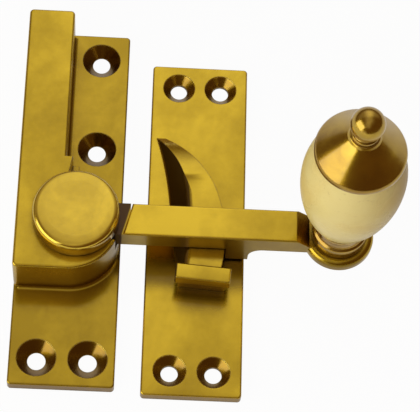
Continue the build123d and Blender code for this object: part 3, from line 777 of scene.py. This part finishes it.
# %% Barrel
BARREL_BORE = 2.1
FOOT_RADIUS = 5.7
TOP_RADIUS = 8.6
WIDEST_SHARE = 0.66
LIP_HEIGHT = 0.35
LIP_BREAK = (0.12, 0.10)
LIP_FLAT = 0.45
UPPER_STEPS = 24
LOWER_STEPS = 36
radius, top = barrel_radius, barrel_height
widest = top * WIDEST_SHARE
upper = arc_from_upright(radius, widest, TOP_RADIUS, top - LIP_HEIGHT, UPPER_STEPS)
mirrored = arc_from_upright(radius, widest, FOOT_RADIUS, 2 * widest - LIP_HEIGHT, LOWER_STEPS)
lower = [Vector((p.x, 2 * widest - p.y)) for p in mirrored]
foot_lip = [Vector((FOOT_RADIUS - LIP_BREAK[0], LIP_BREAK[1])), Vector((FOOT_RADIUS - LIP_FLAT, 0.0))]
top_lip = [Vector((TOP_RADIUS - LIP_BREAK[0], top - LIP_BREAK[1])), Vector((TOP_RADIUS - LIP_FLAT, top))]
bore = [Vector((BARREL_BORE, top)), Vector((BARREL_BORE, 0.0))]
side = foot_lip[::-1] + lower[::-1] + [Vector((radius, widest))] + upper + top_lip
barrel_profile = side + bore + side[:1]
turn_piece("glazed_knob_barrel", "knob_barrel", knob_axis, barrel_profile, glaze, "arm")

# %% Cap
RIM_HEIGHT = 1.2
SEAT_RADIUS = 2.9
SEAT_HEIGHT = 0.65
SEAT_FOOT_RADIUS = 3.3
cap_axis, radius, top = middle("knob_cap")
cap_profile = rounded([
    (SPINDLE_BORE, 0.0, 0), (radius, 0.0, 0.3), (radius, RIM_HEIGHT, 2.2), (SEAT_FOOT_RADIUS, top - SEAT_HEIGHT, 1.2),
    (SEAT_RADIUS, top, 0.3), (SPINDLE_BORE, top, 0)])
turn_piece("turned_knob_cap", "knob_cap", cap_axis, cap_profile, knob_brass, "arm")

# %% Finial
RING_RADIUS = 2.7
RING_HEIGHT = 0.9
NECK_RADIUS = 2.3
THREAD_DEPTH = 4.2
BALL_STEPS = 40
finial_axis, radius, top = middle("knob_finial")
ball_centre = top - radius
ball_start = -math.acos(NECK_RADIUS / radius)
angles = [ball_start + (math.pi / 2 - ball_start) * step / BALL_STEPS for step in range(BALL_STEPS)]
ball = [Vector((radius * math.cos(angle), ball_centre + radius * math.sin(angle))) for angle in angles]
ring = rounded([(SPINDLE_BORE, 0.0, 0), (RING_RADIUS, 0.0, 0.2), (RING_RADIUS, RING_HEIGHT, 0.4),
                (NECK_RADIUS, RING_HEIGHT, 0)])[:-1]
thread = [Vector((0.0, top)), Vector((0.0, THREAD_DEPTH)), Vector((SPINDLE_BORE, THREAD_DEPTH))]
finial_profile = ring + ball + thread + ring[:1]
turn_piece("turned_knob_finial", "knob_finial", finial_axis, finial_profile, knob_brass, "arm")

# %% [markdown]
# ## The floor
# The fastener lies on a white table. The floor is matt paper that keeps the shadows, mixed with a white that only
# the camera and the mirrors in the metal see, so the picture has a white ground without more light on the brass.

# %% Floor
FLOOR_SIZE = 4.0
SEEN_BY_CAMERA = 0.96
SEEN_BY_GLOSS = 0.32
SEEN_BY_GLASS = 0.90
WHITE = rgb(1.0, 1.0, 1.0)
PAPER = rgb(0.80, 0.80, 0.79)
bpy.ops.mesh.primitive_plane_add(size=FLOOR_SIZE, location=(0.0, 0.0, 0.0))
floor = bpy.context.object
floor.name = "floor"
white_paper, desk = new_material("white_paper")
by_camera, by_gloss, by_glass = desk.node("ShaderNodeLightPath",
                                          out=("Is Camera Ray", "Is Glossy Ray", "Is Transmission Ray"))
seen = (by_camera * SEEN_BY_CAMERA + by_gloss * SEEN_BY_GLOSS + by_glass * SEEN_BY_GLASS).maths("MINIMUM", 1.0)
matt = desk.node("ShaderNodeBsdfDiffuse", {}, {"Color": PAPER})
white = desk.node("ShaderNodeEmission", {}, {"Color": WHITE, "Strength": 1.0})
mixed = desk.node("ShaderNodeMixShader", {}, {0: seen, 1: matt, 2: white})
desk.node("ShaderNodeOutputMaterial", {}, {"Surface": mixed})
floor.data.materials.append(white_paper)
print("floor laid,", FLOOR_SIZE, "m wide")

# %% [markdown]
# ## The light
# Bright brass shows what is around it, so the room matters more than the lamps. A large soft window in the north is
# mirrored by the flat tops. The rest of the room is dim and warm: the walls and the screw holes mirror it. The room
# is a formula of the direction that a ray leaves in, split into its east, north and upward parts. A doorway behind
# the camera lights whatever faces it, such as the ball, and the tops when they are seen from behind. A low strip in
# the south-west gives the walls there a gleam. The ceiling straight above is a little brighter than the room, so the
# tops don't go dark when they are seen from above. The camera itself sees plain white where the floor ends.

# %% World
WINDOW_LEVEL = 0.84
WINDOW_NORTH = (0.16, 0.56)
WINDOW_UP = (0.10, 0.50)
WINDOW_SLANT = 0.10
WINDOW_MIDDLE = 0.03
WINDOW_FADE = (0.05, 0.55)
WINDOW_FALL = 0.75
DOORWAY_LEVEL = 0.28
DOORWAY_SOUTH = (0.12, 0.40)
DOORWAY_UP = (0.50, 0.74)
DOORWAY_MIDDLE = -0.12
STRIP_LEVEL = 0.70
STRIP_SOUTH = (0.25, 0.65)
STRIP_UP = (0.02, 0.32)
STRIP_MIDDLE = -0.50
SIDE_FADE = (0.12, 0.42)
SKYLIGHT_LEVEL = 0.30
SKYLIGHT_UP = (0.88, 0.995)
CEILING_LEVEL = 0.08
CEILING_UP = (0.70, 0.95)
DARK_LEVEL = 0.14
WARM = rgb(1.0, 0.52, 0.22)


def away_from(place, part, fade):
    """0 where a part of the direction is near to a place, and 1 once it is further away than the fade."""
    return (part - place).maths("ABSOLUTE").ramp(*fade)


world = bpy.data.worlds.new("soft_room")
bpy.context.scene.world = world
world.use_nodes = True
desk = Desk(world.node_tree)
east, north, up = desk.parts(desk.node("ShaderNodeTexCoord", out="Generated"))
south = north * -1.0
spread = 1.0 - away_from(WINDOW_MIDDLE, east, WINDOW_FADE) * WINDOW_FALL
window = (north - east * WINDOW_SLANT).ramp(*WINDOW_NORTH) * up.ramp(*WINDOW_UP) * spread
doorway = south.ramp(*DOORWAY_SOUTH) * up.ramp(*DOORWAY_UP) * (1.0 - away_from(DOORWAY_MIDDLE, east, SIDE_FADE))
low_strip = south.ramp(*STRIP_SOUTH) * (1.0 - up.ramp(*STRIP_UP)) * (1.0 - away_from(STRIP_MIDDLE, east, SIDE_FADE))
overhead = up.ramp(*SKYLIGHT_UP) * SKYLIGHT_LEVEL + up.ramp(*CEILING_UP) * CEILING_LEVEL
level = window * WINDOW_LEVEL + doorway * DOORWAY_LEVEL + low_strip * STRIP_LEVEL + overhead
by_camera = desk.node("ShaderNodeLightPath", out="Is Camera Ray")
unseen = 1.0 - by_camera
daylight = desk.node("ShaderNodeBackground", {}, {"Color": WHITE, "Strength": level * unseen + by_camera})
warm_dark = desk.node("ShaderNodeBackground", {}, {"Color": WARM, "Strength": unseen * DARK_LEVEL})
background = desk.node("ShaderNodeAddShader", {}, {0: daylight, 1: warm_dark})
desk.node("ShaderNodeOutputWorld", {}, {"Surface": background})
print("room lit with", len(world.node_tree.nodes), "nodes")

# %% [markdown]
# ## Two lamps
# In the west-south-west stands a lamp, which the cap, the disc's rim and the countersinks catch. A second lamp only
# fills the ceramic: it is kept out of the mirrors, because polished brass would show it as a patch.

# %% Lamps
LAMP_TARGET = (0.03, 0.03, 0.0)


def lamp(name, place, size, power):
    """A rectangular lamp that faces the fastener. Places and sizes are in metres, the power in watts."""
    data = bpy.data.lights.new(name, "AREA")
    data.shape = "RECTANGLE"
    data.size, data.size_y = size
    data.energy = power
    obj = new_object(name, data)
    obj.location = place
    obj.rotation_euler = (Vector(LAMP_TARGET) - Vector(place)).to_track_quat("-Z", "Y").to_euler()
    print(name, "gives", power, "W")
    return obj


lamp("west_window", place=(-0.60, -0.26, 0.35), size=(0.80, 0.56), power=3.0)
fill = lamp("ceramic_fill", place=(-0.30, -0.70, 0.35), size=(0.60, 0.40), power=2.5)
fill.visible_glossy = False

# %% [markdown]
# ## The camera
# The camera stands south of the fastener and looks down about 26 degrees from straight down. Its place and turn
# come from a fit to the straight edges and circles of the photograph.

# %% Camera
CAMERA_PLACE = (12.6062, -150.7985, 392.1739)
CAMERA_ROLL = -0.043874
CAMERA_TILT = 0.447335
CAMERA_PAN = 0.026431
FOCAL_PIXELS = 2018.25
IMAGE_WIDTH = 420.0
SENSOR_WIDTH = 36.0
lens = bpy.data.cameras.new("camera")
camera = new_object("camera", lens)
bpy.context.scene.camera = camera
camera.location = [value * MM for value in CAMERA_PLACE]
turn = (Matrix.Rotation(CAMERA_ROLL, 3, "Y") @ Matrix.Rotation(CAMERA_TILT, 3, "X")
        @ Matrix.Rotation(CAMERA_PAN, 3, "Z"))
camera.rotation_euler = turn.to_euler()
lens.sensor_width = SENSOR_WIDTH
lens.lens = FOCAL_PIXELS * SENSOR_WIDTH / IMAGE_WIDTH
lens.clip_start = 0.01
bpy.context.scene.view_settings.view_transform = "Standard"
print("camera at", [round(v / MM, 1) for v in camera.location], "lens", round(lens.lens, 1))
